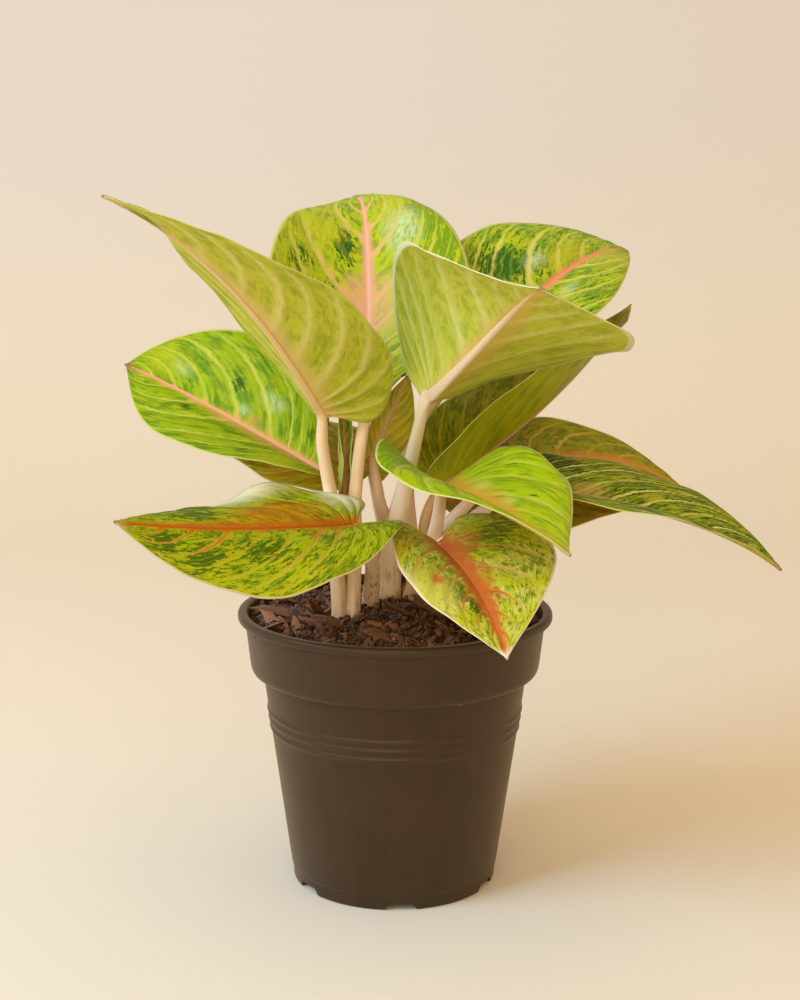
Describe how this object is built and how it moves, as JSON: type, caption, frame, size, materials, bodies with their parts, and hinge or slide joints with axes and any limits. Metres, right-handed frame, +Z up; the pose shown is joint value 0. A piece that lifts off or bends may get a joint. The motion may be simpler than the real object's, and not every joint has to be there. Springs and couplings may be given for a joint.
{
  "type": "potted chinese evergreen",
  "caption": "Clump of broad, pointed, variegated leaves on pale arching stalks, planted in a tapered round nursery pot.",
  "frame": {"origin": "centre of the flat pad under the pot, on the surface it stands on", "axes": "+Z up along the pot's axis; -Y towards the viewer of the picture"},
  "size_m": [0.3483, 0.31, 0.3596],
  "materials": {
    "pot_plastic": "matte dark taupe, slightly rough",
    "potting_mix": "dark brown crumbs with bark chips",
    "stalk": "pale pink-cream, satin",
    "leaf": "yellow-green with dark green flecks and pink ribs, semi-gloss"
  },
  "bodies": {
    "root": {"pot": "pot_plastic", "soil": "potting_mix", "crown_left": "stalk", "crown_front": "stalk", "crown_centre": "stalk", "crown_right": "stalk", "crown_back": "stalk", "leaf_upper_left": "leaf", "leaf_top": "leaf", "leaf_upper_front": "leaf", "leaf_top_right": "leaf", "leaf_middle_left": "leaf", "leaf_low_left": "leaf", "leaf_low_front": "leaf", "leaf_middle_front": "leaf", "leaf_right_back": "leaf", "leaf_far_right": "leaf", "leaf_centre_right": "leaf", "leaf_centre": "leaf", "leaf_new": "leaf", "leaf_left_back": "leaf", "leaf_right_low": "leaf"}
  },
  "joints": []
}
